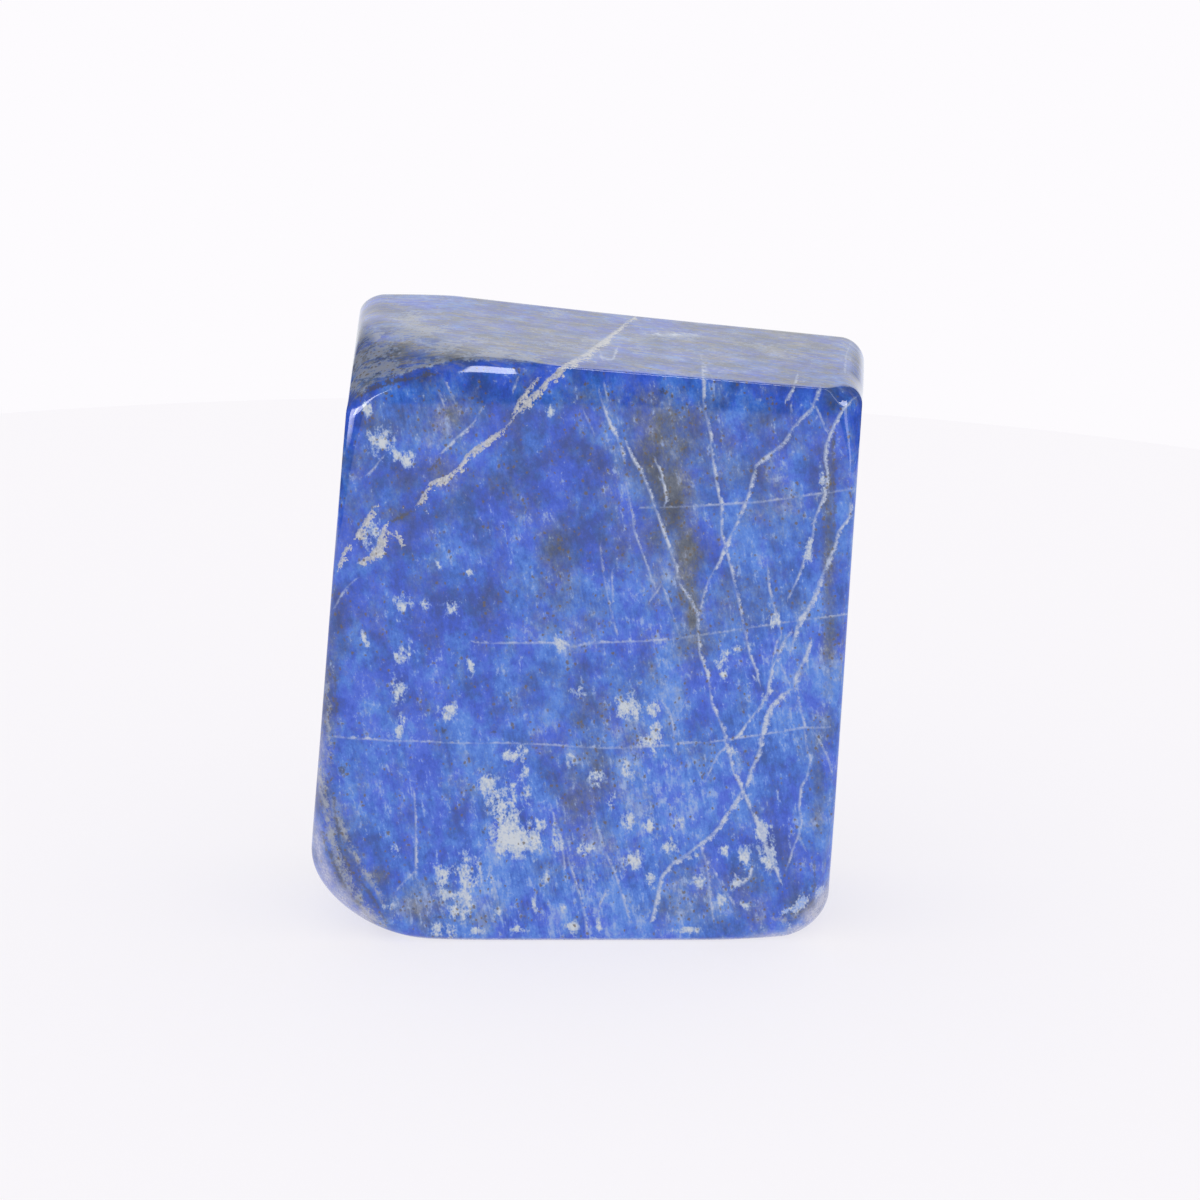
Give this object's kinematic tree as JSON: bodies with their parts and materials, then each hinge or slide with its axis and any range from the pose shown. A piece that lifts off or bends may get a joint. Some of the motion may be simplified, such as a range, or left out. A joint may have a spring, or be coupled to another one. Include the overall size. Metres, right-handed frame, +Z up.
{
  "type": "polished lapis lazuli freeform",
  "caption": "Polished freeform block of blue lapis lazuli with pale calcite veins and brassy pyrite specks, standing on a flat cut base.",
  "frame": {"origin": "on the cut base, under the middle of the bounding box", "axes": "+Z up from the base, +Y from the flat polished front face to the back, +X to the right seen from the front"},
  "size_m": [0.0798, 0.0404, 0.0874],
  "materials": {
    "lapis_lazuli": "mirror-polished ultramarine blue with cream veins, pale blue clouds, grey-brown patches and brassy specks"
  },
  "bodies": {
    "root": {"lapis_lazuli": "lapis_lazuli"}
  },
  "joints": []
}
